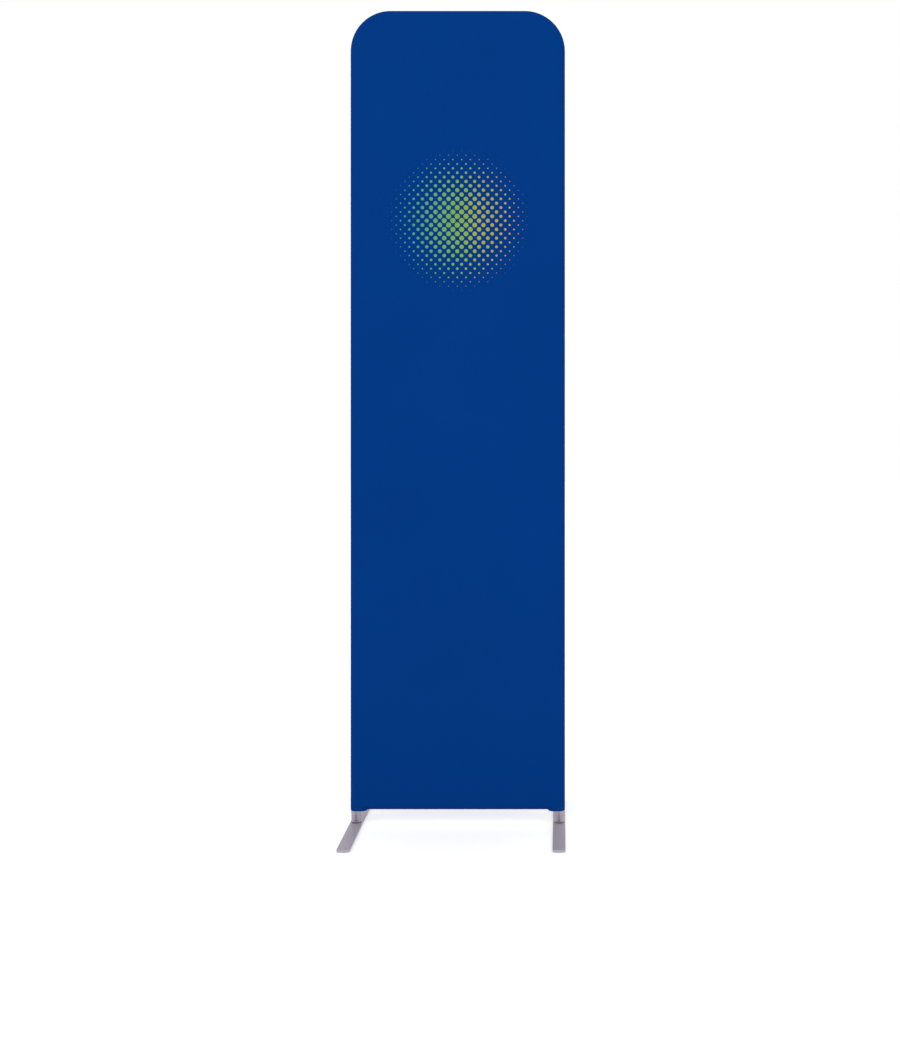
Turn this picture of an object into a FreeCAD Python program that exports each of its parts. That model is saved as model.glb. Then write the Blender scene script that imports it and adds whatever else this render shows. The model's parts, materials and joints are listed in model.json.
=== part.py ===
import FreeCAD
import Part

import math
import os

# Free-standing fabric display wall: a knock-down tube frame inside a zipped stretch cover, on two swivel feet.
# Millimetres, +Z up, front towards -Y, origin on the floor below the middle of the wall.

# Cover
cover_width = 610.0
cover_top = 2320.0
cover_bottom = 45.0  # hem above the floor
cover_corner_radius = 114.0  # rounded top corners, outside the fabric
fabric_thickness = 0.8
fabric_clearance = 0.3  # between the fabric and the tubes that stretch it
leg_opening_reach = 16.0  # each leg opening runs this far inwards from the leg's axis
leg_opening_drop = 1.2  # the hem of a leg opening hangs this far below the cover's hem

# Frame tubes
tube_diameter = 30.0
tube_wall = 1.5
lower_upright_length = 720.0
middle_upright_length = 720.0
corner_leg = 60.0  # straight run at each end of a bent corner tube
crossbar_clearance = 0.5  # between the crossbar's ends and the uprights
weld_clearance = 0.1  # between a crossbar lug's saddle and the upright

# Spigots inside the tubes, each riveted into one tube and plugged into the next
spigot_clearance = 0.15
spigot_wall = 1.8
spigot_length = 120.0
spigot_lead_in = 1.0  # chamfer on the spigot's ends
rivet_offset = 35.0  # from the tube joint to the rivet
rivet_radius = 2.0
rivet_clearance = 0.1
rivet_head_radius = 4.0
rivet_head_height = 1.2
rivet_tail_radius = 2.8
rivet_tail_height = 2.0

# Snap buttons and their spring clips
button_offset = 40.0  # from the tube joint to the button
button_radius = 3.5
button_clearance = 0.15
button_stand_out = 2.5  # how far a button stands out of the tube
button_dome = 1.0
button_flange_radius = 4.5
button_flange_thickness = 0.8
clip_thickness = 0.8
clip_width = 8.0
clip_length = 34.0  # from the button to the centre of the clip's bend
clip_bend_radius = 3.0
clip_end = 5.0  # the clip's flat runs this far to each side of the button
clip_clearance = 0.15  # between the clip or the button's flange and the spigot's bore

# Feet
foot_length = 400.0
foot_width = 35.0
foot_thickness = 6.0
foot_end_bow = 3.0  # the plate's ends bow out by this much
foot_corner_radius = 5.0
foot_edge_chamfer = 0.6
pad_thickness = 2.0
pad_length = 50.0
pad_width = 24.0
pad_inset = 14.0  # from the plate's end to the pad
washer_thickness = 3.0
washer_radius = 14.0
post_shoulder_radius = 14.5
post_shoulder_height = 23.0
post_shoulder_chamfer = 0.8
post_floor = 6.0  # solid floor of the post above its shoulder
post_length = 95.0  # the part of the post inside the upright
post_button_offset = 75.0
bolt_radius = 5.0
bolt_head_radius = 10.0
bolt_head_recess = 0.3  # the bolt's head lies this far inside the plate
bolt_length = 34.0
bolt_socket_radius = 3.5
bolt_socket_depth = 3.0
thread_clearance = 0.05
swivel_clearance = 0.08

# Zip along the hem, a little to the back
zip_drop = 4.0  # room for the zip between the hem and the crossbar
zip_turn = 30.0  # degrees round the hem from its lowest line, towards the back
zip_end_margin = 12.0  # closed hem between the zip's ends and the leg openings
zip_slot_half_width = 5.5
tape_thickness = 0.6
tape_clearance = 0.1  # between a tape and the panel that it is sewn into
tape_half_width = 12.0
tape_edge = 3.0  # the tapes' inner edges from the middle of the chain
tape_overrun = 3.0  # the tapes run this far past the zip's opening
tooth_pitch = 3.6
tooth_thickness = 2.4
tooth_root_half_width = 0.5
tooth_tip_half_width = 0.95
tooth_reach = 1.2  # the teeth reach this far past the middle of the chain
spine_width = 0.8
spine_clearance = 0.05  # between the tooth row's spine and the tape's edge
stop_length = 3.0
stop_clearance = 0.5

# Zip slider and pull
slider_length = 14.0
slider_half_width = 4.4
slider_shoulder_half_width = 5.2
slider_plate = 1.2
slider_clearance = 0.25  # between the slider's plates and the teeth
slider_flange = 0.9
slider_flange_gap = 0.3  # the flanges stop this far below the middle of the chain
slider_end_room = 14.0  # from the zip's end to the middle of the parked slider
diamond_length = 4.5
diamond_half_width = 1.6
bail_half_length = 4.0
bail_bar = 1.3
bail_window_height = 2.0
bail_half_width = 1.0
pull_pin_radius = 0.75
pull_thickness = 1.4
pull_width = 7.0
pull_length = 26.0
pull_eye_length = 5.2
pull_eye_half_width = 2.1

# Places worked out from the sizes above
tube_radius = tube_diameter / 2
tube_bore = tube_radius - tube_wall
spigot_radius = tube_bore - spigot_clearance
spigot_bore = spigot_radius - spigot_wall
wrap_inner = tube_radius + fabric_clearance
wrap_outer = wrap_inner + fabric_thickness
side_x = cover_width / 2 - wrap_outer
top_z = cover_top - wrap_outer
bend_radius = cover_corner_radius - wrap_outer
hem_z = cover_bottom + wrap_outer
crossbar_z = hem_z + zip_drop
leg_opening_z = cover_bottom - leg_opening_drop

plate_top = pad_thickness + foot_thickness
post_bottom = plate_top + washer_thickness
upright_foot = post_bottom + post_shoulder_height
lower_top = upright_foot + lower_upright_length
middle_top = lower_top + middle_upright_length
corner_foot = top_z - bend_radius - corner_leg
spreader_half = side_x - bend_radius - corner_leg
crossbar_half = side_x - tube_radius - crossbar_clearance

flange_top = math.sqrt(spigot_bore**2 - button_flange_radius**2) - clip_clearance
flange_bottom = flange_top - button_flange_thickness

zip_half = side_x - leg_opening_reach - wrap_outer - zip_end_margin
tape_outer = wrap_inner - tape_clearance
tape_inner = tape_outer - tape_thickness
chain_z = hem_z - (tape_outer + tape_inner) / 2
slider_x = zip_half - slider_end_room
slider_inside = tooth_thickness / 2 + slider_clearance
slider_outside = slider_inside + slider_plate
pull_z = -slider_outside - bail_window_height / 2
sides = (("left", -1), ("right", 1))


def vec(x, y, z):
    return FreeCAD.Vector(x, y, z)


along_x, along_y, along_z = vec(1, 0, 0), vec(0, 1, 0), vec(0, 0, 1)


def polygon_face(points):
    return Part.Face(Part.makePolygon([*points, points[0]]))


def box_between(low, high):
    size = high - low
    return Part.makeBox(size.x, size.y, size.z, low)


def rod(radius, start, end):
    return Part.makeCylinder(radius, (end - start).Length, start, end - start)


def fused(shapes):
    return shapes[0].multiFuse(shapes[1:]).removeSplitter()


def moved(shape, offset):
    copy = shape.copy()
    copy.translate(offset)
    return copy


def turned_to_zip(shape):
    # The zip is made along the hem's lowest line and turned round the hem to its place.
    copy = shape.copy()
    copy.rotate(vec(0, 0, hem_z), along_x, zip_turn)
    return copy


class TubeJoint:
    # A plug-in joint between two tubes. Seen from the joint, the spigot's fixed half lies along
    # one way and its plug the other way, and the button faces sideways out of the plug.
    def __init__(self, name, origin, along, facing, offset=button_offset):
        self.name = name
        self.offset = offset
        turn = FreeCAD.Rotation(facing, along.cross(facing), along, "ZXY")
        self.placement = FreeCAD.Placement(origin, turn)

    def place(self, shape):
        placed = shape.copy()
        placed.Placement = self.placement.multiply(shape.Placement)
        return placed

    def side_hole(self, radius, height):
        return self.place(rod(radius, vec(0, 0, height), vec(tube_diameter, 0, height)))

    def button_hole(self):
        return self.side_hole(button_radius + button_clearance, -self.offset)

    def rivet_hole(self):
        return self.side_hole(rivet_radius + rivet_clearance, rivet_offset)


def joints_of_side(name, side):
    inwards = along_x * -side
    x = side * side_x
    upright = {"along": along_z, "facing": inwards}
    return {
        "lower": TubeJoint(name + "_lower", vec(x, 0, lower_top), **upright),
        "middle": TubeJoint(name + "_middle", vec(x, 0, middle_top), **upright),
        "upper": TubeJoint(name + "_upper", vec(x, 0, corner_foot), **upright),
        "spreader": TubeJoint(
            name + "_spreader", vec(side * spreader_half, 0, top_z), along=inwards, facing=-along_z
        ),
        "crossbar": TubeJoint(
            name + "_crossbar", vec(side * crossbar_half, 0, crossbar_z), along=-inwards, facing=along_z
        ),
        "foot": TubeJoint(
            name + "_foot", vec(x, 0, upright_foot), along=-along_z, facing=inwards, offset=post_button_offset
        ),
    }


# Frame tubes


def straight_tube(start, end, holes):
    tube = rod(tube_radius, start, end).cut(rod(tube_bore, start, end))
    return tube.cut(holes)


def bent_rod(side, radius):
    # One leg, a quarter bend and an arm, round the tube's own centreline.
    foot = vec(side * side_x, 0, corner_foot)
    bend_start = foot + along_z * corner_leg
    bend_centre = vec(side * (side_x - bend_radius), 0, top_z - bend_radius)
    arm_start = bend_centre + along_z * bend_radius
    section = Part.Face(Part.Wire(Part.makeCircle(radius, bend_start, along_z)))
    bend = section.revolve(bend_centre, along_y, -side * 90)
    arm_end = arm_start - along_x * side * corner_leg
    return fused([rod(radius, foot, bend_start), bend, rod(radius, arm_start, arm_end)])


def corner_tube(side, holes):
    return bent_rod(side, tube_radius).cut(bent_rod(side, tube_bore)).cut(holes)


def frame_tubes(joints):
    tubes = {}
    for name, side in sides:
        own = joints[name]
        levels = [vec(side * side_x, 0, z) for z in (upright_foot, lower_top, middle_top, corner_foot)]
        lower_holes = [own["foot"].button_hole(), own["lower"].button_hole()]
        middle_holes = [own["lower"].rivet_hole(), own["middle"].button_hole()]
        upper_holes = [own["middle"].rivet_hole(), own["upper"].button_hole()]
        corner_holes = [own["upper"].rivet_hole(), own["spreader"].button_hole()]
        tubes[name + "_lower_upright"] = straight_tube(levels[0], levels[1], lower_holes)
        tubes[name + "_middle_upright"] = straight_tube(levels[1], levels[2], middle_holes)
        tubes[name + "_upper_upright"] = straight_tube(levels[2], levels[3], upper_holes)
        tubes[name + "_top_corner"] = corner_tube(side, corner_holes)
    tubes["top_spreader"] = straight_tube(
        vec(-spreader_half, 0, top_z),
        vec(spreader_half, 0, top_z),
        [joints[name]["spreader"].rivet_hole() for name, side in sides],
    )
    tubes["bottom_crossbar"] = straight_tube(
        vec(-crossbar_half, 0, crossbar_z),
        vec(crossbar_half, 0, crossbar_z),
        [joints[name]["crossbar"].button_hole() for name, side in sides],
    )
    return tubes


# Spigots, lugs, rivets, buttons and clips, each made in its joint's own frame: Z along the fixed half, X out of
# the button


def spigot_tube(plug_end, fixed_end):
    # A plain tube whose plug end, and free fixed end, are chamfered to start easily.
    lead = spigot_radius - spigot_lead_in
    profile = polygon_face(
        [
            vec(spigot_bore, 0, plug_end),
            vec(lead, 0, plug_end),
            vec(spigot_radius, 0, plug_end + spigot_lead_in),
            vec(spigot_radius, 0, fixed_end - spigot_lead_in),
            vec(lead, 0, fixed_end),
            vec(spigot_bore, 0, fixed_end),
        ]
    )
    return profile.revolve(vec(0, 0, 0), along_z, 360)


def spigot(joint):
    tube = joint.place(spigot_tube(-spigot_length / 2, spigot_length / 2))
    return tube.cut([joint.button_hole(), joint.rivet_hole()])


def crossbar_lug(joint, side):
    # The saddle end is coped to the upright's round and welded there.
    tube = joint.place(spigot_tube(-spigot_length / 2, tube_radius + crossbar_clearance))
    upright = rod(
        tube_radius + weld_clearance,
        vec(side * side_x, 0, crossbar_z - tube_diameter),
        vec(side * side_x, 0, crossbar_z + tube_diameter),
    )
    return tube.cut([upright, joint.button_hole()])


def domed_pin(base, radius, shank_end, crown):
    # Half the section of a pin along X whose end is a shallow dome.
    rim = vec(shank_end, radius, 0)
    bulge = (radius**2 + crown**2) / (2 * crown)
    middle_y = radius / 2
    middle = vec(shank_end + crown - bulge + math.sqrt(bulge**2 - middle_y**2), middle_y, 0)
    tip = vec(shank_end + crown, 0, 0)
    edges = [
        Part.makeLine(vec(base, 0, 0), vec(base, radius, 0)),
        Part.makeLine(vec(base, radius, 0), rim),
        Part.Arc(rim, middle, tip).toShape(),
        Part.makeLine(tip, vec(base, 0, 0)),
    ]
    return Part.Face(Part.Wire(edges)).revolve(vec(0, 0, 0), along_x, 360)


def snap_button(joint):
    shank_end = tube_radius + button_stand_out - button_dome
    pin = domed_pin(flange_bottom, button_radius, shank_end, button_dome)
    flange = rod(button_flange_radius, vec(flange_bottom, 0, 0), vec(flange_top, 0, 0))
    return joint.place(moved(fused([flange, pin]), vec(0, 0, -joint.offset)))


def rivet(joint):
    tail_top = math.sqrt(spigot_bore**2 - rivet_tail_radius**2) - rivet_clearance
    tail_end = tail_top - rivet_tail_height
    tail = rod(rivet_tail_radius, vec(tail_end, 0, 0), vec(tail_top, 0, 0))
    shank = rod(rivet_radius, vec(tail_end, 0, 0), vec(tube_radius + rivet_head_height / 2, 0, 0))
    head_rim = rivet_head_height / 3
    head = domed_pin(tube_radius, rivet_head_radius, tube_radius + head_rim, rivet_head_height - head_rim)
    return joint.place(moved(fused([tail, shank, head]), vec(0, 0, rivet_offset)))


def tangent_point(centre, radius, point, turn):
    # Where a line from the point touches the circle, in the XZ plane.
    away = point - centre
    angle = math.atan2(away.z, away.x) + turn * math.acos(radius / away.Length)
    return centre + vec(radius * math.cos(angle), 0, radius * math.sin(angle))


def spring_clip(joint):
    # A bent strip of spring steel: a flat under the button, a leg to the bend and a leg back to the far wall.
    # The path is the strip's outer face, and the strip's thickness lies inside it.
    wall_x = clip_clearance - math.sqrt(spigot_bore**2 - (clip_width / 2) ** 2)
    bend = vec(0, 0, clip_length)
    knee = vec(flange_bottom, 0, clip_end)
    heel = vec(wall_x, 0, 0)
    bend_start = tangent_point(bend, clip_bend_radius, knee, 1)
    bend_end = tangent_point(bend, clip_bend_radius, heel, -1)
    path = Part.Wire(
        [
            Part.makeLine(vec(flange_bottom, 0, -clip_end), knee),
            Part.makeLine(knee, bend_start),
            Part.Arc(bend_start, bend + along_z * clip_bend_radius, bend_end).toShape(),
            Part.makeLine(bend_end, heel),
        ]
    )
    strip = path.makeOffset2D(clip_thickness, 2, True, True)
    clip = strip.extrude(along_y * clip_width)
    return joint.place(moved(clip, vec(0, -clip_width / 2, -joint.offset)))


# Feet


def foot_outline(z):
    # A flat bar along Y with bowed ends and rounded corners.
    half_width = foot_width / 2
    corner_y = foot_length / 2 - foot_end_bow
    right, left = vec(half_width, corner_y, z), vec(-half_width, corner_y, z)
    front_right, front_left = vec(half_width, -corner_y, z), vec(-half_width, -corner_y, z)
    edges = [
        Part.makeLine(front_right, right),
        Part.Arc(right, vec(0, foot_length / 2, z), left).toShape(),
        Part.makeLine(left, front_left),
        Part.Arc(front_left, vec(0, -foot_length / 2, z), front_right).toShape(),
    ]
    return Part.Face(Part.Wire(edges))


def upright_edges(shape, height):
    return [e for e in shape.Edges if abs(e.BoundBox.ZLength - height) < 1e-6]


def bolt_section(clearance):
    # Half the section of the countersunk bolt, or of the hole that it turns in.
    head_z = pad_thickness + bolt_head_recess
    neck_z = head_z + bolt_head_radius - bolt_radius
    end_z = head_z + bolt_length
    return polygon_face(
        [
            vec(0, 0, head_z),
            vec(bolt_head_radius + clearance, 0, head_z),
            vec(bolt_radius + clearance, 0, neck_z),
            vec(bolt_radius + clearance, 0, end_z),
            vec(0, 0, end_z),
        ]
    )


def foot_plate():
    plate = foot_outline(pad_thickness).extrude(along_z * foot_thickness)
    plate = plate.makeFillet(foot_corner_radius, upright_edges(plate, foot_thickness))
    rim = [e for e in plate.Edges if e.BoundBox.ZMin > plate_top - foot_edge_chamfer]
    plate = plate.makeChamfer(foot_edge_chamfer, rim)
    mouth = rod(
        bolt_head_radius + swivel_clearance, vec(0, 0, 0), vec(0, 0, pad_thickness + bolt_head_recess)
    )
    return plate.cut([bolt_section(swivel_clearance).revolve(vec(0, 0, 0), along_z, 360), mouth])


def foot_pads():
    radius = pad_width / 2
    straight = pad_length / 2 - radius
    middle_y = foot_length / 2 - pad_inset - pad_length / 2
    ends = [rod(radius, vec(0, y, 0), vec(0, y, pad_thickness)) for y in (-straight, straight)]
    bar = box_between(vec(-radius, -straight, 0), vec(radius, straight, pad_thickness))
    pad = fused([bar, *ends])
    return Part.Compound([moved(pad, along_y * y) for y in (-middle_y, middle_y)])


def swivel_washer():
    top = vec(0, 0, post_bottom)
    hole = rod(bolt_radius + swivel_clearance, vec(0, 0, plate_top), top)
    return rod(washer_radius, vec(0, 0, plate_top), top).cut(hole)


def swivel_bolt():
    bolt = bolt_section(0).revolve(vec(0, 0, 0), along_z, 360)
    head_z = pad_thickness + bolt_head_recess
    socket_rim = [
        vec(
            bolt_socket_radius * math.cos(math.radians(60 * i)),
            bolt_socket_radius * math.sin(math.radians(60 * i)),
            head_z,
        )
        for i in range(6)
    ]
    return bolt.cut(polygon_face(socket_rim).extrude(along_z * bolt_socket_depth))


def foot_post(joint):
    # The shoulder carries the upright's end, and the plug above it is hollow for the spring clip.
    bolt_hole = bolt_radius + thread_clearance
    top = upright_foot + post_length
    floor = upright_foot + post_floor
    profile = polygon_face(
        [
            vec(bolt_hole, 0, post_bottom),
            vec(post_shoulder_radius - post_shoulder_chamfer, 0, post_bottom),
            vec(post_shoulder_radius, 0, post_bottom + post_shoulder_chamfer),
            vec(post_shoulder_radius, 0, upright_foot),
            vec(spigot_radius, 0, upright_foot),
            vec(spigot_radius, 0, top - spigot_lead_in),
            vec(spigot_radius - spigot_lead_in, 0, top),
            vec(spigot_bore, 0, top),
            vec(spigot_bore, 0, floor),
            vec(bolt_hole, 0, floor),
        ]
    )
    post = profile.revolve(vec(0, 0, 0), along_z, 360)
    return moved(post, vec(joint.placement.Base.x, 0, 0)).cut(joint.button_hole())


def feet(joints):
    pieces = {}
    for name, side in sides:
        leg = vec(side * side_x, 0, 0)
        pieces[name + "_foot_plate"] = moved(foot_plate(), leg)
        pieces[name + "_foot_pads"] = moved(foot_pads(), leg)
        pieces[name + "_swivel_washer"] = moved(swivel_washer(), leg)
        pieces[name + "_swivel_bolt"] = moved(swivel_bolt(), leg)
        pieces[name + "_foot_post"] = foot_post(joints[name]["foot"])
    return pieces


# Cover


def half_disc(centre, radius, bulge):
    rim = Part.Arc(centre + along_y * radius, centre + bulge * radius, centre - along_y * radius).toShape()
    return Part.Face(Part.Wire([rim, Part.makeLine(centre - along_y * radius, centre + along_y * radius)]))


def wall_outline(y):
    # The tubes' centreline round the wall, with its two rounded top corners.
    shoulder_z = top_z - bend_radius
    arm_x = side_x - bend_radius
    diagonal = bend_radius * math.sqrt(0.5)
    left_middle = vec(-arm_x - diagonal, y, shoulder_z + diagonal)
    right_middle = vec(arm_x + diagonal, y, shoulder_z + diagonal)
    edges = [
        Part.makeLine(vec(-side_x, y, hem_z), vec(-side_x, y, shoulder_z)),
        Part.Arc(vec(-side_x, y, shoulder_z), left_middle, vec(-arm_x, y, top_z)).toShape(),
        Part.makeLine(vec(-arm_x, y, top_z), vec(arm_x, y, top_z)),
        Part.Arc(vec(arm_x, y, top_z), right_middle, vec(side_x, y, shoulder_z)).toShape(),
        Part.makeLine(vec(side_x, y, shoulder_z), vec(side_x, y, hem_z)),
        Part.makeLine(vec(side_x, y, hem_z), vec(-side_x, y, hem_z)),
    ]
    return Part.Face(Part.Wire(edges))


def cover_volume(radius, opening_z):
    # The space inside a cover stretched round the frame at this distance from the tubes' centrelines.
    shoulder_z = top_z - bend_radius
    arm_x = side_x - bend_radius
    inner_x = side_x - leg_opening_reach
    core = wall_outline(-radius).extrude(along_y * 2 * radius)
    top = half_disc(vec(-arm_x, 0, top_z), radius, along_z).extrude(along_x * 2 * arm_x)
    hem = half_disc(vec(-inner_x, 0, hem_z), radius, -along_z).extrude(along_x * 2 * inner_x)
    parts = [core, top, hem]
    for name, side in sides:
        outwards = along_x * side
        edge = half_disc(vec(side * side_x, 0, opening_z), radius, outwards)
        parts.append(edge.extrude(along_z * (shoulder_z - opening_z)))
        section = half_disc(vec(side * side_x, 0, shoulder_z), radius, outwards)
        parts.append(section.revolve(vec(side * arm_x, 0, shoulder_z), along_y, -side * 90))
        low_x, high_x = sorted((side * inner_x, side * side_x))
        parts.append(box_between(vec(low_x, -radius, opening_z), vec(high_x, radius, hem_z)))
        end = half_disc(vec(side * inner_x, 0, opening_z), radius, -outwards)
        parts.append(end.extrude(along_z * (hem_z - opening_z)))
    return fused(parts)


def cover_panels():
    # Front and back meet in a seam round the edge. A slot along the hem takes the zip.
    below = leg_opening_z - tube_diameter
    cover = cover_volume(wrap_outer, leg_opening_z).cut(cover_volume(wrap_inner, below))
    slot = box_between(vec(-zip_half, -zip_slot_half_width, below), vec(zip_half, zip_slot_half_width, hem_z))
    cover = cover.cut(turned_to_zip(slot))
    front_half = box_between(vec(-cover_width, -cover_width, below), vec(cover_width, 0, 2 * cover_top))
    back_half = moved(front_half, along_y * cover_width)
    return {"front_panel": cover.common(front_half), "back_panel": cover.common(back_half)}


# Zip: two tapes sewn inside the hem, two rows of interlocking teeth, stops, a slider and its pull


def zip_tape(side):
    edges_y = (tape_edge, (tape_edge + tape_half_width) / 2, tape_half_width)
    angles = [math.asin(y / tape_inner) for y in edges_y]

    def on_arc(radius, angle):
        return vec(-zip_half - tape_overrun, side * radius * math.sin(angle), hem_z - radius * math.cos(angle))

    outer = [on_arc(tape_outer, a) for a in angles]
    inner = [on_arc(tape_inner, a) for a in angles]
    edges = [
        Part.Arc(*outer).toShape(),
        Part.makeLine(outer[2], inner[2]),
        Part.Arc(*reversed(inner)).toShape(),
        Part.makeLine(inner[0], outer[0]),
    ]
    return Part.Face(Part.Wire(edges)).extrude(along_x * 2 * (zip_half + tape_overrun))


def tooth_row(side, first_x, count):
    # A spine along the tape's edge with dovetail teeth, wider at the tip than at the root, so two rows lock.
    spine_edge = spine_clearance - tape_edge
    root = spine_edge + spine_width
    bottom = chain_z - tooth_thickness / 2
    end_room = tooth_pitch / 2
    outline = [(first_x - end_room, spine_edge), (first_x - end_room, root)]
    for i in range(count):
        x = first_x + i * tooth_pitch
        outline.append((x - tooth_root_half_width, root))
        outline.append((x - tooth_tip_half_width, tooth_reach))
        outline.append((x + tooth_tip_half_width, tooth_reach))
        outline.append((x + tooth_root_half_width, root))
    last_x = first_x + (count - 1) * tooth_pitch + end_room
    outline += [(last_x, root), (last_x, spine_edge)]
    face = polygon_face([vec(x, -side * y, bottom) for x, y in outline])
    return face.extrude(along_z * tooth_thickness)


def zip_stops():
    # Two small stops past the parked slider, and one across both rows at the other end.
    low_z, high_z = chain_z - tooth_thickness / 2, chain_z + tooth_thickness / 2
    edge = tape_edge - spine_clearance
    parked_x = slider_x + slider_length / 2 + stop_clearance
    stops = [
        box_between(
            vec(-zip_half, -edge, low_z),
            vec(-zip_half + stop_length, edge, high_z),
        )
    ]
    for side in (-1, 1):
        low_y, high_y = sorted((side * spine_width, side * edge))
        stops.append(box_between(vec(parked_x, low_y, low_z), vec(parked_x + stop_length, high_y, high_z)))
    return Part.Compound(stops)


def slider_plate_face(z):
    half = slider_length / 2
    shoulder = half - diamond_length / 2
    upper = [
        (-half, slider_half_width),
        (0, slider_half_width),
        (shoulder, slider_shoulder_half_width),
        (half, slider_half_width),
    ]
    lower = [(x, -y) for x, y in reversed(upper)]
    return polygon_face([vec(x, y, z) for x, y in upper + lower])


def zip_slider():
    # Two plates held apart by the diamond that parts the teeth, flanges that keep the teeth in, and a bail.
    half = slider_length / 2
    plates = [slider_plate_face(z).extrude(along_z * slider_plate) for z in (-slider_outside, slider_inside)]
    flange = box_between(
        vec(-half, slider_half_width - slider_flange, -slider_inside - slider_plate / 2),
        vec(0, slider_half_width, -slider_flange_gap),
    )
    tip = half - diamond_length
    wide = half - diamond_length / 2
    diamond = polygon_face(
        [
            vec(tip, 0, -slider_outside),
            vec(wide, diamond_half_width, -slider_outside),
            vec(half, diamond_half_width / 2, -slider_outside),
            vec(half, -diamond_half_width / 2, -slider_outside),
            vec(wide, -diamond_half_width, -slider_outside),
        ]
    ).extrude(along_z * 2 * slider_outside)
    bail_bottom = -slider_outside - bail_window_height - bail_bar
    bail = box_between(
        vec(-bail_half_length, -bail_half_width, bail_bottom),
        vec(bail_half_length, bail_half_width, -slider_outside + slider_plate / 2),
    )
    round_edges = [e for e in bail.Edges if e.BoundBox.ZMax < bail_bottom + bail_bar and e.BoundBox.XLength < 1e-6]
    bail = bail.makeFillet(bail_bar, [e for e in round_edges if e.BoundBox.YLength > bail_half_width])
    window = box_between(
        vec(bail_bar - bail_half_length, -2 * bail_half_width, bail_bottom + bail_bar),
        vec(bail_half_length - bail_bar, 2 * bail_half_width, -slider_outside),
    )
    body = fused([*plates, flange, flange.mirror(vec(0, 0, 0), along_y), diamond, bail.cut(window)])
    return moved(body, vec(slider_x, 0, chain_z))


def zip_pull():
    # A flat tab that lies back along the closed zip. Its pin turns in the slider's bail.
    half_width = pull_width / 2
    half_thick = pull_thickness / 2
    tab = box_between(vec(-pull_length, -half_width, -half_thick), vec(0, half_width, half_thick))
    tail = [e for e in upright_edges(tab, pull_thickness) if e.BoundBox.XMax < -pull_length / 2]
    tab = tab.makeFillet(half_width * 0.9, tail)
    eye = box_between(
        vec(-pull_eye_length, -pull_eye_half_width, -pull_thickness),
        vec(pull_pin_radius, pull_eye_half_width, pull_thickness),
    )
    pin = rod(pull_pin_radius, vec(0, -half_width, 0), vec(0, half_width, 0))
    return moved(fused([tab.cut(eye), pin]), vec(slider_x, 0, chain_z + pull_z))


def zip_pieces():
    first_x = stop_length + tooth_pitch - zip_half
    count = int((slider_x - first_x) / tooth_pitch)
    pieces = {
        "zip_front_tape": zip_tape(-1),
        "zip_back_tape": zip_tape(1),
        "zip_front_teeth": tooth_row(-1, first_x, count),
        "zip_back_teeth": tooth_row(1, first_x + tooth_pitch / 2, count),
        "zip_stops": zip_stops(),
        "zip_slider": zip_slider(),
        "zip_pull": zip_pull(),
    }
    return {name: turned_to_zip(shape) for name, shape in pieces.items()}


def joint_hardware(joints):
    pieces = {}
    rivets = []
    for name, side in sides:
        own = joints[name]
        for place in ("lower", "middle", "upper", "spreader"):
            pieces[f"{name}_{place}_spigot"] = spigot(own[place])
            rivets.append(rivet(own[place]))
        pieces[name + "_crossbar_lug"] = crossbar_lug(own["crossbar"], side)
        for place, joint in own.items():
            pieces[f"{name}_{place}_button"] = snap_button(joint)
        pieces[name + "_button_springs"] = Part.Compound([spring_clip(joint) for joint in own.values()])
    pieces["spigot_rivets"] = Part.Compound(rivets)
    return pieces


def main():
    joints = {name: joints_of_side(name, side) for name, side in sides}
    pieces = {}
    pieces.update(frame_tubes(joints))
    pieces.update(joint_hardware(joints))
    pieces.update(feet(joints))
    pieces.update(cover_panels())
    pieces.update(zip_pieces())
    os.makedirs("parts", exist_ok=True)
    for name, shape in pieces.items():
        shape.exportStep(os.path.join("parts", name + ".step"))
        solids = shape.Solids
        volume = sum(solid.Volume for solid in solids)
        valid = all(solid.isValid() for solid in solids)
        print(f"{name}: {len(solids)} solids, {volume:.1f} mm3, valid {valid}")


main()
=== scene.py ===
import json
import math

import bpy
from mathutils import Matrix, Vector


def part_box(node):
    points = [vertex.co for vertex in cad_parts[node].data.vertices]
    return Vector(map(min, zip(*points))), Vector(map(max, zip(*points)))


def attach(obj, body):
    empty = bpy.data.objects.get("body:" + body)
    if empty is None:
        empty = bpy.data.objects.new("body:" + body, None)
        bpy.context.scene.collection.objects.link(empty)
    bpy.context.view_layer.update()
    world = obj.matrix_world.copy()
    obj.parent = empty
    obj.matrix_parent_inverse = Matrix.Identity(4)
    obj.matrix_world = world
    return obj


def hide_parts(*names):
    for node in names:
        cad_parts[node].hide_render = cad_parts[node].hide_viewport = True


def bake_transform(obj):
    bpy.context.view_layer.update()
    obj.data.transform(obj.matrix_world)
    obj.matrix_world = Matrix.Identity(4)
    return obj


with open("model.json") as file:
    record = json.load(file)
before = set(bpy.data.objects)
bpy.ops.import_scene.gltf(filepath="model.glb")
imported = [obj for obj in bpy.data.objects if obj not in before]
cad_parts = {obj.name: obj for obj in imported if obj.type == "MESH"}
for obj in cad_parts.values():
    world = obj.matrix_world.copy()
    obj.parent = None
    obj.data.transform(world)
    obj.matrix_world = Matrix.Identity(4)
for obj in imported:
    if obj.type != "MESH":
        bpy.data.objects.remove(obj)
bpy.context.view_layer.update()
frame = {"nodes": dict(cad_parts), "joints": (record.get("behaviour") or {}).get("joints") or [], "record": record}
nodes = frame["nodes"]
print("frame loaded,", len(nodes), "nodes")

mm = 0.001


# small helpers

def deselect():
    bpy.ops.object.select_all(action="DESELECT")


def makeActive(obj):
    deselect()
    obj.select_set(True)
    bpy.context.view_layer.objects.active = obj


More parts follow.
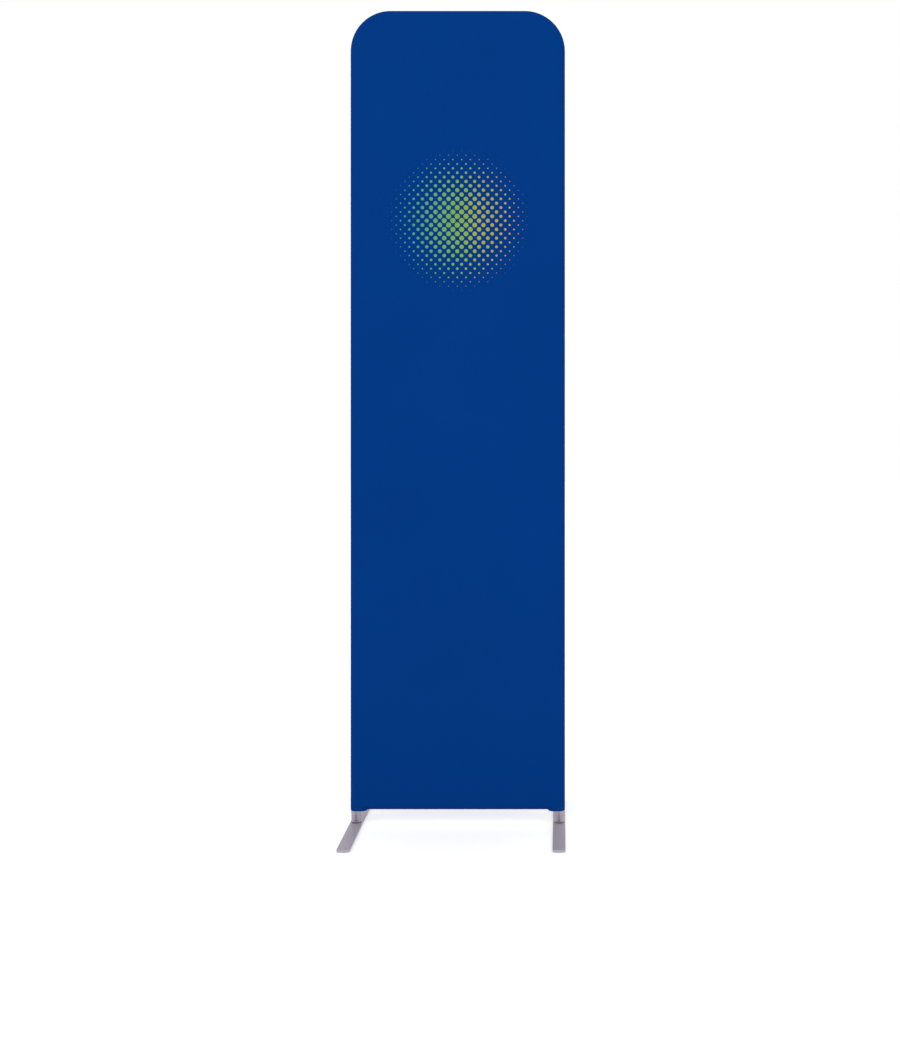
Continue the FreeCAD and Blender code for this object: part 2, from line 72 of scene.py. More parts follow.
def addBox(name, low, high):
    deselect()
    middle = (Vector(low) + Vector(high)) / 2
    bpy.ops.mesh.primitive_cube_add(size=1, location=middle)
    obj = bpy.context.active_object
    obj.name = name
    obj.scale = Vector(high) - Vector(low)
    bpy.ops.object.transform_apply(location=True, rotation=True, scale=True)
    return obj


def pick(obj, kind, test):
    # selects the verts, edges or faces whose corner points pass the test, and stays in edit mode
    bpy.ops.object.mode_set(mode="EDIT")
    bpy.ops.mesh.select_mode(type=kind)
    bpy.ops.mesh.select_all(action="DESELECT")
    bpy.ops.object.mode_set(mode="OBJECT")
    mesh = obj.data
    items = {"VERT": mesh.vertices, "EDGE": mesh.edges, "FACE": mesh.polygons}[kind]
    for item in items:
        corners = [item.co] if kind == "VERT" else [mesh.vertices[i].co for i in item.vertices]
        item.select = test(corners)
    bpy.ops.object.mode_set(mode="EDIT")


def near(a, b):
    return abs(a - b) < 1e-5


def applyModifier(obj, kind, **settings):
    makeActive(obj)
    modifier = obj.modifiers.new(kind.lower(), kind)
    for key, value in settings.items():
        setattr(modifier, key, value)
    bpy.ops.object.modifier_apply(modifier=modifier.name)


def smooth(obj, degrees=35):
    makeActive(obj)
    bpy.ops.object.shade_smooth_by_angle(angle=math.radians(degrees))


# materials

def linear(hexColour):
    values = [int(hexColour[i:i + 2], 16) / 255 for i in (1, 3, 5)]
    return tuple(v / 12.92 if v <= 0.04045 else ((v + 0.055) / 1.055) ** 2.4 for v in values) + (1,)


def addNode(tree, kind, settings=None, values=None, links=None):
    node = tree.nodes.new(kind)
    for key, value in (settings or {}).items():
        setattr(node, key, value)
    for key, value in (values or {}).items():
        node.inputs[key].default_value = value
    for key, socket in (links or {}).items():
        tree.links.new(socket, node.inputs[key])
    return node


def newMaterial(name, **values):
    # a Principled shader with its constants on its own sockets
    material = bpy.data.materials.new(name)
    material.use_nodes = True
    tree = material.node_tree
    shader = tree.nodes["Principled BSDF"]
    for key, value in values.items():
        shader.inputs[key.replace("_", " ")].default_value = value
    place = addNode(tree, "ShaderNodeTexCoord").outputs["Object"]
    return material, tree, shader, place


def tint(tree, colour, amount, dark, light):
    # a number from 0 to 1 becomes a colour between two close tones
    ramp = addNode(tree, "ShaderNodeValToRGB", links={"Fac": amount})
    ramp.color_ramp.elements[0].color = [c * dark for c in colour[:3]] + [1]
    ramp.color_ramp.elements[1].color = [c * light for c in colour[:3]] + [1]
    return ramp.outputs["Color"]


fabricLook = {
    "dye": "#003984",
    "sheen": "#2f62b0",
    "wale": 1.3 * mm,  # drawn coarser than the real 0.6 mm, so that the knit shows in a close view
    "course": 1.0 * mm,
    "lean": 0.9,  # how far the course lines slant across a wale, in courses
    "loopShare": 0.82,  # share of the loops' painted shade and light; the rest of the tone is slow, cloudy variation of the dye
    # painted shade in the hollows between the loops and painted light on their tops, as factors on the dye
    "darkLoop": 0.62,
    "lightLoop": 1.34,
    "relief": 0.25 * mm,
    "printMiddle": 1.72,  # height of the dot print's middle
    "printRadius": 0.215,
    "dotPitch": 0.0175,
    "dotSize": 0.46,  # radius of the largest dot, in pitches
    "dotFall": 1.6,  # how fast the dots shrink towards the rim
    "dotEdge": 14.0,  # sharpness of a dot's edge
    "dotTeal": "#16918f",
    "dotGreen": "#7fb045",
    "dotGold": "#dfa23c",
}


def knitFabric(name, printed):
    # dye-printed polyester stretch knit: matt, with faint rows of loops (a bump, with painted shade in their
    # hollows and painted light on their tops) and a soft bloom at grazing angles
    look = fabricLook
    maths = "ShaderNodeMath"
    vectors = "ShaderNodeVectorMath"
    material, tree, shader, place = newMaterial(
        name, Roughness=0.9, Specular_IOR_Level=0.04, Sheen_Weight=0.02, Sheen_Roughness=0.4,
        Sheen_Tint=linear(look["sheen"]))
    # where each point lies on the cloth before it is stretched round the rim
    laid = addNode(tree, "ShaderNodeAttribute", {"attribute_name": "flatPlace"}).outputs["Vector"]
    axes = addNode(tree, "ShaderNodeSeparateXYZ", links={"Vector": laid}).outputs

    # each wale is a column of slanted loops: the course lines lean to and fro across it
    wales = addNode(tree, maths, {"operation": "DIVIDE"}, {1: look["wale"]}, {0: axes["X"]})
    column = addNode(tree, maths, {"operation": "PINGPONG"}, {1: 0.5}, {0: wales.outputs[0]})
    courses = addNode(tree, maths, {"operation": "DIVIDE"}, {1: look["course"]}, {0: axes["Z"]})
    lean = addNode(tree, maths, {"operation": "MULTIPLY_ADD"}, {1: look["lean"]},
                   {0: column.outputs[0], 2: courses.outputs[0]})
    turns = addNode(tree, maths, {"operation": "MULTIPLY"}, {1: 2 * math.pi}, {0: lean.outputs[0]})
    wave = addNode(tree, maths, {"operation": "SINE"}, links={0: turns.outputs[0]})
    loops = addNode(tree, maths, {"operation": "MULTIPLY_ADD"}, {1: 0.25, 2: 0.25}, {0: wave.outputs[0]})
    knit = addNode(tree, maths, {"operation": "ADD"}, links={0: loops.outputs[0], 1: column.outputs[0]})
    cloud = addNode(tree, "ShaderNodeTexNoise", values={"Scale": 3.0, "Detail": 3.0}, links={"Vector": place})
    slow = addNode(tree, maths, {"operation": "MULTIPLY"}, {1: 1 - look["loopShare"]},
                   {0: cloud.outputs["Fac"]})
    # painted shade and light: the tone follows the knit's height, darker in the hollows between loops and lighter
    # on their tops, with the slow dye variation mixed in
    shade = addNode(tree, maths, {"operation": "MULTIPLY_ADD"}, {1: look["loopShare"]},
                    {0: knit.outputs[0], 2: slow.outputs[0]})

    # the loops' painted shade and light, with the cloudy dye variation, darken and lighten dye and print alike
    shadedDye = addNode(tree, "ShaderNodeMix", {"data_type": "RGBA", "blend_type": "MULTIPLY"}, {"Factor": 1.0})
    shadedDye.inputs["A"].default_value = linear(look["dye"])
    paintedLoopTone = tint(tree, (1, 1, 1), shade.outputs[0], look["darkLoop"], look["lightLoop"])
    tree.links.new(paintedLoopTone, shadedDye.inputs["B"])
    tree.links.new(shadedDye.outputs["Result"], shader.inputs["Base Color"])
    bump = addNode(tree, "ShaderNodeBump", values={"Strength": 0.6, "Distance": look["relief"]},
                   links={"Height": knit.outputs[0]})
    tree.links.new(bump.outputs["Normal"], shader.inputs["Normal"])

    if printed:
        # a plain round field of dots that shrink towards its rim
        middle = (0, 0, look["printMiddle"])
        centred = addNode(tree, vectors, {"operation": "SUBTRACT"}, {1: middle}, {0: place})
        flat = addNode(tree, vectors, {"operation": "MULTIPLY"}, {1: (1, 0, 1)}, {0: centred.outputs[0]})
        turned = addNode(tree, "ShaderNodeMapping", links={"Vector": flat.outputs[0]})
        turned.inputs["Rotation"].default_value = (0, math.radians(45), 0)
        turned.inputs["Scale"].default_value = (1 / look["dotPitch"],) * 3
        cell = addNode(tree, vectors, {"operation": "FLOOR"}, links={0: turned.outputs[0]})
        inCell = addNode(tree, vectors, {"operation": "FRACTION"}, links={0: turned.outputs[0]})
        half = (0.5, 0, 0.5)
        fromDot = addNode(tree, vectors, {"operation": "SUBTRACT"}, {1: half}, {0: inCell.outputs[0]})
        dotSpan = addNode(tree, vectors, {"operation": "LENGTH"}, links={0: fromDot.outputs[0]})
        dotPlace = addNode(tree, vectors, {"operation": "ADD"}, {1: half}, {0: cell.outputs[0]})
        reach = addNode(tree, vectors, {"operation": "LENGTH"}, links={0: dotPlace.outputs[0]})
        share = addNode(tree, maths, {"operation": "DIVIDE"}, {1: look["printRadius"] / look["dotPitch"]},
                        {0: reach.outputs["Value"]})
        fall = addNode(tree, maths, {"operation": "POWER"}, {1: look["dotFall"]}, {0: share.outputs[0]})
        size = look["dotSize"]
        dotRadius = addNode(tree, maths, {"operation": "MULTIPLY_ADD"}, {1: -size, 2: size},
                            {0: fall.outputs[0]})
        inside = addNode(tree, maths, {"operation": "SUBTRACT"},
                         links={0: dotRadius.outputs[0], 1: dotSpan.outputs["Value"]})
        edge = addNode(tree, maths, {"operation": "MULTIPLY"}, {1: look["dotEdge"]}, {0: inside.outputs[0]})
        mask = addNode(tree, "ShaderNodeClamp", links={"Value": edge.outputs[0]})
        across = addNode(tree, maths, {"operation": "MULTIPLY_ADD"}, {1: 0.5 / look["printRadius"], 2: 0.5},
                         {0: axes["X"]})
        hues = addNode(tree, "ShaderNodeValToRGB", links={"Fac": across.outputs[0]})
        hues.color_ramp.elements[0].color = linear(look["dotTeal"])
        hues.color_ramp.elements[1].color = linear(look["dotGold"])
        hues.color_ramp.elements.new(0.5).color = linear(look["dotGreen"])
        mixed = addNode(tree, "ShaderNodeMix", {"data_type": "RGBA"}, links={"Factor": mask.outputs[0]})
        mixed.inputs["A"].default_value = linear(look["dye"])
        tree.links.new(hues.outputs["Color"], mixed.inputs["B"])
        tree.links.new(mixed.outputs["Result"], shadedDye.inputs["A"])
    return material


def grained(name, hexColour, grain, dark, light, bump, stretch=(1, 1, 1), rough=(0.3, 0.4), **values):
    # one tone with a fine grain of the given size in metres, drawn out along an axis by stretch
    material, tree, shader, place = newMaterial(name, **values)
    scaled = addNode(tree, "ShaderNodeMapping", links={"Vector": place})
    scaled.inputs["Scale"].default_value = [s / grain for s in stretch]
    noise = addNode(tree, "ShaderNodeTexNoise", values={"Scale": 1.0, "Detail": 4.0, "Roughness": 0.6},
                    links={"Vector": scaled.outputs[0]})
    wear = addNode(tree, "ShaderNodeTexNoise", values={"Scale": 14.0, "Detail": 5.0}, links={"Vector": place})
    part = addNode(tree, "ShaderNodeMath", {"operation": "MULTIPLY"}, {1: 0.4}, {0: wear.outputs["Fac"]})
    blend = addNode(tree, "ShaderNodeMath", {"operation": "MULTIPLY_ADD"}, {1: 0.6},
                    {0: noise.outputs["Fac"], 2: part.outputs[0]})
    tree.links.new(tint(tree, linear(hexColour), blend.outputs[0], dark, light), shader.inputs["Base Color"])
    roughness = addNode(tree, "ShaderNodeMapRange", values={"To Min": rough[0], "To Max": rough[1]},
                        links={"Value": blend.outputs[0]})
    tree.links.new(roughness.outputs[0], shader.inputs["Roughness"])
    relief = addNode(tree, "ShaderNodeBump", values={"Strength": bump, "Distance": grain * 0.5},
                     links={"Height": noise.outputs["Fac"]})
    tree.links.new(relief.outputs["Normal"], shader.inputs["Normal"])
    return material


# drawn and satin anodised tube: fine lines along its length, a soft wide highlight
anodisedTube = grained(
    "anodised aluminium tube", "#a29ca8", 0.5 * mm, 0.9, 1.1, 0.06, (1, 1, 0.04), (0.36, 0.46), Metallic=1.0)
# mill finish inside the tubes, duller and streaked
millTube = grained(
    "mill finish aluminium", "#a8a6a8", 0.6 * mm, 0.85, 1.12, 0.08, (1, 1, 0.05), (0.42, 0.55), Metallic=1.0)
# turned on a lathe: rings round the post, a tighter shine than the tube
turnedPost = grained(
    "turned aluminium", "#9d949f", 0.4 * mm, 0.86, 1.1, 0.1, (0.05, 0.05, 1), (0.3, 0.4), Metallic=1.0)
# powder coat: satin silver grey with a slight orange peel
powderCoat = grained(
    "silver powder coat", "#b5adb6", 0.9 * mm, 0.93, 1.06, 0.12, (1, 1, 1), (0.42, 0.55), Metallic=0.25)
# plated: brighter and smoother than the aluminium beside it, a little mottled
zincPlate = grained(
    "bright zinc plate", "#b9b8b4", 0.7 * mm, 0.85, 1.1, 0.05, (1, 1, 1), (0.25, 0.38), Metallic=1.0)
# rolled strip, hardened: dark blue-grey with a clear shine
springSteel = grained(
    "blued spring steel", "#5d6070", 0.5 * mm, 0.8, 1.15, 0.05, (1, 1, 1), (0.3, 0.4), Metallic=1.0)
# stamped from sheet: dull, a thin dark line between post and plate
darkNylon = grained("dark grey nylon", "#706d73", 0.4 * mm, 0.85, 1.15, 0.08, (1, 1, 1), (0.45, 0.6))
# moulded: nearly black, no shine
padRubber = grained("black rubber", "#2a292a", 0.6 * mm, 0.8, 1.2, 0.2, (1, 1, 1), (0.75, 0.9))
# injected onto the tape: smooth, in the cover's blue but darker
mouldedTeeth = grained("moulded acetal", "#0b2c66", 0.3 * mm, 0.9, 1.1, 0.05, (1, 1, 1), (0.35, 0.5))
# stoved enamel on a casting: glossy blue that hides most of the metal
enamelledSlider = grained(
    "enamelled zinc casting", "#14305f", 0.5 * mm, 0.88, 1.12, 0.06, (1, 1, 1), (0.25, 0.4), Metallic=0.4)
# close weave: matt, with a grain across the tape and a light bloom
wovenTape = grained(
    "woven zip tape", "#0a2f70", 0.5 * mm, 0.75, 1.2, 0.3, (1, 0.5, 1), (0.8, 0.92), Sheen_Weight=0.1)
# twisted thread: a shade lighter than the cloth, so the rows of stitches show
sewingThread = grained(
    "polyester thread", "#0b479c", 0.2 * mm, 0.8, 1.2, 0.2, (1, 1, 1), (0.6, 0.75), Specular_IOR_Level=0.1)
frontFabric = knitFabric("stretch knit, printed", True)
backFabric = knitFabric("stretch knit", False)

slotMaterial = {
    "frame_tube": anodisedTube,
    "spigot": millTube,
    "rivet": millTube,
    "button": zincPlate,
    "spring_steel": springSteel,
    "foot_post": turnedPost,
    "washer": darkNylon,
    "bolt": zincPlate,
    "foot_plate": powderCoat,
    "foot_pad": padRubber,
    "zip_teeth": mouldedTeeth,
    "zip_metal": enamelledSlider,
    "zip_tape": wovenTape,
    "cover_fabric": backFabric,
}


def dress(obj, material):
    obj.data.materials.clear()
    obj.data.materials.append(material)


for entry in frame["record"]["subparts"]:
    dress(nodes[entry["node"]], slotMaterial[entry["material_slot"]])
print("materials made")


# spring clips, inside the spigots

clip = {"thick": 0.8 * mm, "merge": 0.001 * mm}


def clipOf(button):
    words = button.split("_")
    return words[0] + "".join(w.capitalize() for w in words[1:-1]) + "Clip"


def distance(corners, node):
    low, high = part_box(node)
    return min((corner - (low + high) / 2).length for corner in corners)


def springClips(side):
    # each strip of the side's node becomes a piece of its own, named after its nearest button
    node = side + "_button_springs"
    strips = bpy.data.objects.new("clipStrips", nodes[node].data.copy())
    bpy.context.collection.objects.link(strips)
    makeActive(strips)
    pick(strips, "FACE", lambda p: True)
    bpy.ops.mesh.remove_doubles(threshold=clip["merge"])
    bpy.ops.mesh.separate(type="LOOSE")
    bpy.ops.object.mode_set(mode="OBJECT")
    presses = [j for j in frame["joints"] if j["child"].startswith(side) and j["child"].endswith("_button")]
    for piece in list(bpy.context.selected_objects):
        corners = [v.co.copy() for v in piece.data.vertices]
        press = min(presses, key=lambda j: distance(corners, j["child"]))
        inward = Vector(press["axis"])
        piece.name = clipOf(press["child"])
        smooth(piece)
        dress(piece, springSteel)
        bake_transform(piece)
        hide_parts(node)


springClips("left")
springClips("right")
print("spring clips made")


# cover

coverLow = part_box("front_panel")[0]
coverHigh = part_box("front_panel")[1]
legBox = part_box("right_lower_upright")
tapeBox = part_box("zip_front_tape")
cover = {
    "half": coverHigh.x,
    "top": coverHigh.z,
    "wrap": -coverLow.y,  # radius of the fabric round the tubes
    "hem": 45 * mm,
    "opening": coverLow.z,  # lower edge of the leg openings
    "corner": 114 * mm,
    "legX": (legBox[0].x + legBox[1].x) / 2,
    "legReach": 16 * mm,
    "cloth": 0.8 * mm,
    "zipHalf": tapeBox[1].x - 3 * mm,
    "zipGap": 5.5 * mm,
    "zipTurn": math.radians(30),  # round the hem from its lowest line, towards the back
    "roundSteps": 18,
    "cornerSteps": 28,
    "sleeveSteps": 24,
    "nearlyFull": 0.999,  # a full half round would leave edges of no length
    "skinGap": 0.02 * mm,  # the sleeves lie a hair inside the cover, so the two skins don't coincide
    "spare": 20 * mm,  # below the openings, cut off again
    "insetRing": 2 * mm,
    "flatExtra": (20 * mm, 25 * mm),  # the cloth that goes round the rim, across and down
}
cover["hemAxis"] = Vector((0, 0, cover["hem"] + cover["wrap"]))


def roundHem(across, out):
    # a point across the zip from its middle and out from the hem's axis, turned to the zip's place
    flat = Vector((0, across, -out))
    return cover["hemAxis"] + Matrix.Rotation(cover["zipTurn"], 3, "X") @ flat


def coverBlank():
    # a flat box with rounded top corners, whose rim is then rounded all the way round
    c = cover
    body = addBox("coverBlank", (-c["half"], -c["wrap"], c["hem"]), (c["half"], c["wrap"], c["top"]))
    pick(body, "EDGE", lambda p: near(p[0].z, c["top"]) and near(p[1].z, c["top"]) and near(p[0].x, p[1].x))
    bpy.ops.mesh.bevel(offset=c["corner"], segments=c["cornerSteps"], affect="EDGES")
    pick(body, "EDGE", lambda p: near(p[0].y, p[1].y))
    bpy.ops.mesh.bevel(offset=c["wrap"] * c["nearlyFull"], segments=c["roundSteps"], affect="EDGES",
                       clamp_overlap=False)
    bpy.ops.object.mode_set(mode="OBJECT")
    for side in (-1, 1):
        innerX = side * (c["legX"] - c["legReach"] - c["wrap"])
        lowX, highX = sorted((innerX, side * c["half"]))
        reach = c["wrap"] - c["skinGap"]
        lowZ, highZ = c["opening"] - c["spare"], c["hemAxis"].z
        sleeve = addBox("legSleeve", (lowX, -reach, lowZ), (highX, reach, highZ))
        pick(sleeve, "EDGE", lambda p: near(p[0].x, p[1].x) and near(p[0].y, p[1].y))
        bpy.ops.mesh.bevel(offset=reach * c["nearlyFull"], segments=c["sleeveSteps"], affect="EDGES")
        bpy.ops.object.mode_set(mode="OBJECT")
        applyModifier(body, "BOOLEAN", operation="UNION", object=sleeve, solver="EXACT")
        bpy.data.objects.remove(sleeve)
    makeActive(body)
    pick(body, "FACE", lambda p: True)
    bpy.ops.mesh.bisect(plane_co=(0, 0, c["opening"]), plane_no=(0, 0, 1), clear_inner=True)
    bpy.ops.object.mode_set(mode="OBJECT")
    return body


def cutZipGap(panel):
    c = cover
    acrossZip = Matrix.Rotation(c["zipTurn"], 3, "X") @ Vector((0, 1, 0))

    edge = 1e-5

    def onHem(p):
        low = max(q.z for q in p) < c["hemAxis"].z + edge
        return low and min(abs(q.x) for q in p) < c["legX"] - c["legReach"]

    def inGap(q):
        across = (q - c["hemAxis"]).dot(acrossZip)
        return abs(q.x) < c["zipHalf"] + edge and abs(across) < c["zipGap"] + edge

    cuts = [(roundHem(way * c["zipGap"], c["wrap"]), acrossZip) for way in (-1, 1)]
    cuts += [((way * c["zipHalf"], 0, 0), (1, 0, 0)) for way in (-1, 1)]
    for point, normal in cuts:
        pick(panel, "FACE", onHem)
        bpy.ops.mesh.bisect(plane_co=point, plane_no=normal)
    pick(panel, "FACE", lambda p: onHem(p) and all(inGap(q) for q in p))
    bpy.ops.mesh.delete(type="FACE")


def layFlat(piece):
    # writes each point's place on the flat cloth, so that the knit keeps its scale round the rim
    c = cover
    flatPlace = piece.data.attributes.new("flatPlace", "FLOAT_VECTOR", "POINT")
    for v, place in zip(piece.data.vertices, flatPlace.data):
        x, z = abs(v.co.x), v.co.z
        fromSide, fromTop = x - c["half"] + c["corner"], z - c["top"] + c["corner"]
        hemPart = x < c["legX"] - c["legReach"] - c["wrap"]
        if fromSide > 0 and fromTop > 0:
            out = Vector((fromSide, fromTop))
            over = out.length - c["corner"] + c["wrap"]
        elif hemPart and z < c["hemAxis"].z:
            out = Vector((0, -1))
            over = c["hemAxis"].z - z
        elif fromTop > 0 and z - c["top"] > x - c["half"]:
            out = Vector((0, 1))
            over = z - c["top"] + c["wrap"]
        else:
            out = Vector((1, 0))
            over = x - c["half"] + c["wrap"]
        shift = Vector((0, 0))
        if over > 0:
            shift = out.normalized() * (c["wrap"] * math.atan2(over, abs(v.co.y)) - over)
        place.vector = (math.copysign(x + shift.x, v.co.x), 0, z + shift.y)


def coverHalf(blank, name, side):
    # one panel: half of the blank, with its hem cut back where the zip runs
    c = cover
    makeActive(blank)
    bpy.ops.object.duplicate()
    panel = bpy.context.active_object
    panel.name = name
    pick(panel, "FACE", lambda p: True)
    bpy.ops.mesh.bisect(plane_co=(0, 0, 0), plane_no=(0, -side, 0), clear_inner=False, clear_outer=True)
    if side > 0:
        cutZipGap(panel)
    # a ring inside the flat keeps the shading of the rounded rim off it
    pick(panel, "FACE", lambda p: len(p) > 40 and all(near(abs(q.y), c["wrap"]) for q in p))
    bpy.ops.mesh.inset(thickness=c["insetRing"])
    bpy.ops.object.mode_set(mode="OBJECT")
    applyModifier(panel, "SOLIDIFY", thickness=c["cloth"], offset=-1)
    smooth(panel, 40)
    applyModifier(panel, "WEIGHTED_NORMAL", keep_sharp=True, weight=90)
    layFlat(panel)
    return panel


blank = coverBlank()
frontCover = coverHalf(blank, "frontCover", -1)
backCover = coverHalf(blank, "backCover", 1)
bpy.data.objects.remove(blank)
dress(frontCover, frontFabric)
dress(backCover, backFabric)
for panel, node in ((frontCover, "front_panel"), (backCover, "back_panel")):
    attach(panel, "frame")
    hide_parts(node)
    print(panel.name, len(panel.data.polygons), "faces")


# zip tapes

tape = {
    "thick": 0.6 * mm,
    "radius": 15.2 * mm,
    "inner": 3.0 * mm,
    "outer": 12.4 * mm,
    "cut": 11.5 * mm,  # its width before it is bent round the hem
    "steps": 8,
    "pieces": 60,
}


def zipTape(name, side, node):
    # a flat strip, laid round the inside of the hem
    halfLength = tapeBox[1].x
    width = tape["outer"] - tape["inner"]
    deselect()
    bpy.ops.mesh.primitive_grid_add(x_subdivisions=tape["pieces"], y_subdivisions=tape["steps"], size=1)
    strip = bpy.context.active_object
    strip.name = name
    strip.scale = (2 * halfLength, width, 1)
    bpy.ops.object.transform_apply(location=True, rotation=True, scale=True)
    for v in strip.data.vertices:
        y = side * (v.co.y + width / 2 + tape["inner"])
        place = roundHem(y, math.sqrt(tape["radius"] ** 2 - y * y))
        v.co.y, v.co.z = place.y, place.z
    pick(strip, "FACE", lambda p: True)
    bpy.ops.mesh.normals_make_consistent(inside=False)
    if strip.data.polygons[0].normal.z > 0:
        bpy.ops.mesh.flip_normals()
    bpy.ops.object.mode_set(mode="OBJECT")
    applyModifier(strip, "SOLIDIFY", thickness=tape["thick"], offset=-1)
    smooth(strip)
    dress(strip, wovenTape)
    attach(strip, "frame")
    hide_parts(node)
    return strip


zipTape("zipTapeFront", -1, "zip_front_tape")
zipTape("zipTapeBack", 1, "zip_back_tape")
print("zip tapes made")


# seam and stitches

seam = {
    "ridge": 0.55 * mm,
    "hemRow": 8 * mm,
    "zipRow": 7.2 * mm,
    "pitch": 3.4 * mm,
    "thread": 0.28 * mm,
    "length": 2.5 * mm,
}


def edgeSeam():
    # the cover's outline, open at the floor end, drawn as a thin ridge where the two panels are sewn together
    c = cover
    deselect()
    bpy.ops.mesh.primitive_plane_add(size=1, location=(0, 0, (c["top"] + c["opening"]) / 2),
                                     rotation=(math.radians(90), 0, 0))
    line = bpy.context.active_object
    line.name = "edgeSeam"
    line.scale = (2 * c["half"], c["top"] - c["opening"], 1)
    bpy.ops.object.transform_apply(location=True, rotation=True, scale=True)
    pick(line, "VERT", lambda p: near(p[0].z, c["top"]))
    bpy.ops.mesh.bevel(offset=c["corner"], segments=c["cornerSteps"], affect="VERTICES")
    pick(line, "EDGE", lambda p: near(p[0].z, c["opening"]) and near(p[1].z, c["opening"]))
    bpy.ops.mesh.delete(type="EDGE")
    bpy.ops.object.mode_set(mode="OBJECT")
    bpy.ops.object.convert(target="CURVE")
    line = bpy.context.active_object
    line.data.bevel_depth = seam["ridge"]
    line.data.bevel_resolution = 2
    line.data.use_fill_caps = True
    bpy.ops.object.convert(target="MESH")
    line = bpy.context.active_object
    smooth(line, 60)
    layFlat(line)
    dress(line, backFabric)
    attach(line, "frame")
    return line


def stitchBlank():
    # one short run of thread, rounded at both ends, lying along X
    deselect()
    bpy.ops.mesh.primitive_cylinder_add(vertices=6, radius=seam["thread"], depth=seam["length"],
                                        rotation=(0, math.radians(90), 0))
    stitch = bpy.context.active_object
    bpy.ops.object.transform_apply(location=True, rotation=True, scale=True)
    pick(stitch, "EDGE", lambda p: near(p[0].x, p[1].x))
    bpy.ops.mesh.bevel(offset=seam["thread"] * 0.6, segments=1, affect="EDGES")
    bpy.ops.object.mode_set(mode="OBJECT")
    return stitch


def stitchRow(name, blank, places):
    # copies of the stitch at (point, direction), joined into one piece
    row = []
    for point, along in places:
        copy = bpy.data.objects.new(name, blank.data.copy())
        copy.data.transform(Matrix.Translation(point) @ along.to_track_quat("X", "Z").to_matrix().to_4x4())
        bpy.context.collection.objects.link(copy)
        row.append(copy)
    deselect()
    for copy in row:
        copy.select_set(True)
    bpy.context.view_layer.objects.active = row[0]
    bpy.ops.object.join()
    piece = bpy.context.active_object
    piece.name = name
    smooth(piece, 50)
    dress(piece, sewingThread)
    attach(piece, "frame")
    return piece


def zipStitchPlaces(side):
    steps = int(2 * cover["zipHalf"] / seam["pitch"])
    across = side * seam["zipRow"]
    out = math.sqrt(cover["wrap"] ** 2 - across ** 2)
    for i in range(steps + 1):
        point = roundHem(across, out)
        point.x = -cover["zipHalf"] + i * seam["pitch"]
        yield point, Vector((1, 0, 0))


def legStitchPlaces(side):
    # round the outer end of a leg opening and along its two flats
    height = cover["opening"] + seam["hemRow"]
    flat = cover["legReach"]
    bend = math.pi * cover["wrap"]
    steps = int((2 * flat + bend) / seam["pitch"])
    for i in range(steps + 1):
        run = i * seam["pitch"]
        if run < flat:
            point = Vector((cover["legX"] - flat + run, -cover["wrap"], height))
            along = Vector((1, 0, 0))
        elif run < flat + bend:
            angle = (run - flat) / cover["wrap"] - math.pi / 2
            spoke = Vector((math.cos(angle), math.sin(angle), 0))
            point = Vector((cover["legX"], 0, height)) + cover["wrap"] * spoke
            along = Vector((-math.sin(angle), math.cos(angle), 0))
        else:
            point = Vector((cover["legX"] + flat + bend - run, cover["wrap"], height))
            along = Vector((-1, 0, 0))
        yield Vector((side * point.x, point.y, point.z)), Vector((side * along.x, along.y, 0))


edgeSeam()
stitch = stitchBlank()
for label, side in (("Left", -1), ("Right", 1)):
    stitchRow("legStitches" + label, stitch, list(legStitchPlaces(side)))
for label, side in (("Front", -1), ("Back", 1)):
    stitchRow("zipStitches" + label, stitch, list(zipStitchPlaces(side)))
bpy.data.objects.remove(stitch)
print("seam and stitches made")


# stage, light and camera

stage = {
    "floorSize": 30.0,
    "floorTone": "#fbfbfb",
    "floorLift": 0.37,
    "ambient": 0.74,
    "key": 56.0,
    "keyPlace": (-2.2, -4.2, 3.8),
    "fill": 26.0,
    "fillPlace": (3.0, -3.6, 2.2),
    "lampSize": 3.0,
}


def whiteToCamera(tree):
    # 1 where the viewer, a mirror or glass looks straight at it, and 0 for light
    path = addNode(tree, "ShaderNodeLightPath").outputs
    seen = addNode(tree, "ShaderNodeMath", {"operation": "MAXIMUM"},
                   links={0: path["Is Camera Ray"], 1: path["Is Glossy Ray"]})
    return addNode(tree, "ShaderNodeMath", {"operation": "MAXIMUM"},
                   links={0: seen.outputs[0], 1: path["Is Transmission Ray"]}).outputs[0]


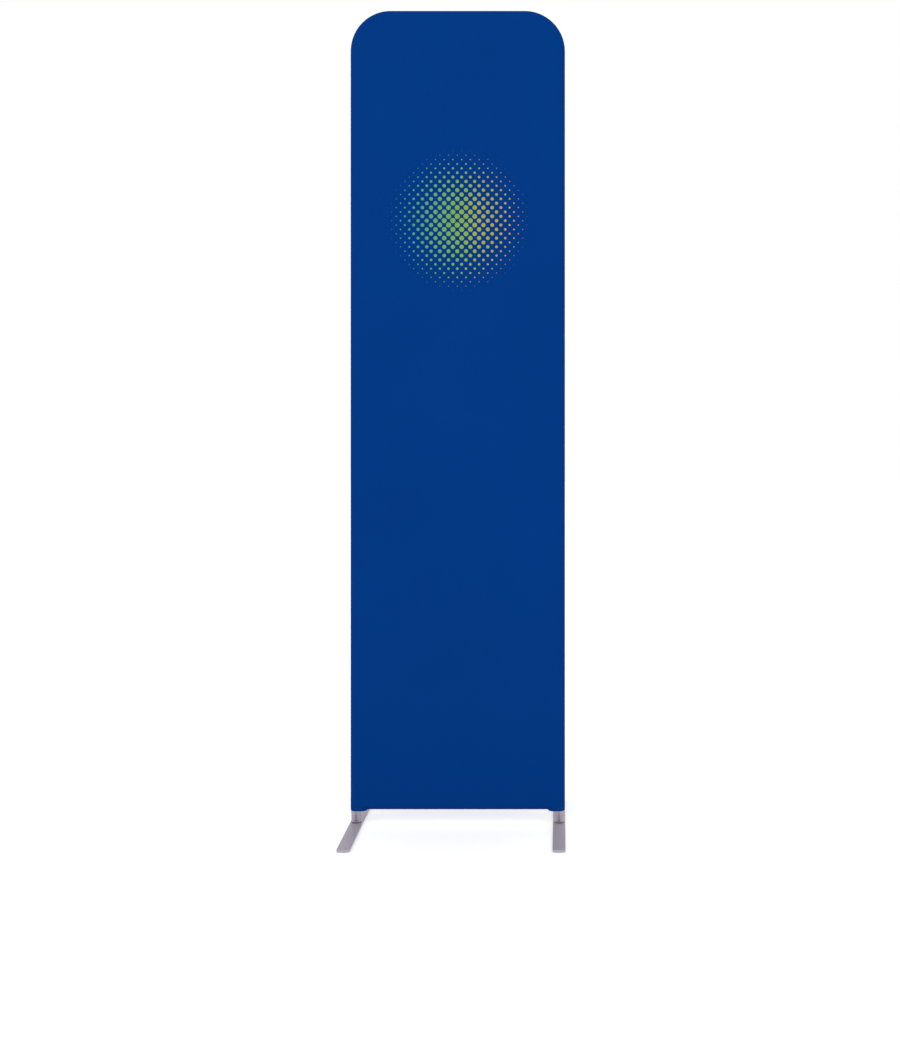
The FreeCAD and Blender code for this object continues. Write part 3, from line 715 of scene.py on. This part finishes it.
deselect()
bpy.ops.mesh.primitive_plane_add(size=stage["floorSize"], location=(0, 0, -0.2 * mm))
floor = bpy.context.active_object
floor.name = "studioFloor"
floorMaterial, floorTree, floorShader = newMaterial(
    "matt studio floor", Roughness=0.9, Specular_IOR_Level=0.1, Base_Color=linear(stage["floorTone"]),
    Emission_Color=(1, 1, 1, 1))[:3]
glow = addNode(floorTree, "ShaderNodeMath", {"operation": "MULTIPLY"}, {1: stage["floorLift"]},
               {0: whiteToCamera(floorTree)})
floorTree.links.new(glow.outputs[0], floorShader.inputs["Emission Strength"])
floor.data.materials.append(floorMaterial)

world = bpy.data.worlds.new("studio")
bpy.context.scene.world = world
world.use_nodes = True
sky = world.node_tree
background = sky.nodes["Background"]
background.inputs["Color"].default_value = (1, 1, 1, 1)
level = addNode(sky, "ShaderNodeMapRange", values={"To Min": stage["ambient"], "To Max": 1.0},
                links={"Value": whiteToCamera(sky)})
sky.links.new(level.outputs[0], background.inputs["Strength"])


def softLamp(name, place, target, size, power):
    data = bpy.data.lights.new(name, "AREA")
    data.shape = "DISK"
    data.size = size
    data.energy = power
    lamp = bpy.data.objects.new(name, data)
    bpy.context.collection.objects.link(lamp)
    lamp.location = place
    lamp.rotation_euler = (Vector(target) - Vector(place)).to_track_quat("-Z", "Y").to_euler()


softLamp("keyLamp", stage["keyPlace"], (0, 0, 1.1), stage["lampSize"], stage["key"])
softLamp("fillLamp", stage["fillPlace"], (0, 0, 1.0), stage["lampSize"], stage["fill"])

camera = {
    "place": (0.2915, -3.1004, 1.1828),  # straight ahead of a point right of the wall
    "focalPixels": 1087.0,
    "middlePixel": (560.0, 410.0),  # where the lens axis meets the picture
    "picture": (900, 1055),
}
lens = bpy.data.cameras.new("photoCamera")
lens.sensor_width = 36.0
longSide = max(camera["picture"])
lens.lens = camera["focalPixels"] / longSide * lens.sensor_width
lens.shift_x = -(camera["middlePixel"][0] - camera["picture"][0] / 2) / longSide
lens.shift_y = (camera["middlePixel"][1] - camera["picture"][1] / 2) / longSide
viewer = bpy.data.objects.new("photoCamera", lens)
bpy.context.collection.objects.link(viewer)
viewer.location = camera["place"]
viewer.rotation_euler = (math.radians(90), 0, 0)
bpy.context.scene.camera = viewer
bpy.context.scene.view_settings.view_transform = "Standard"

print("scene ready")
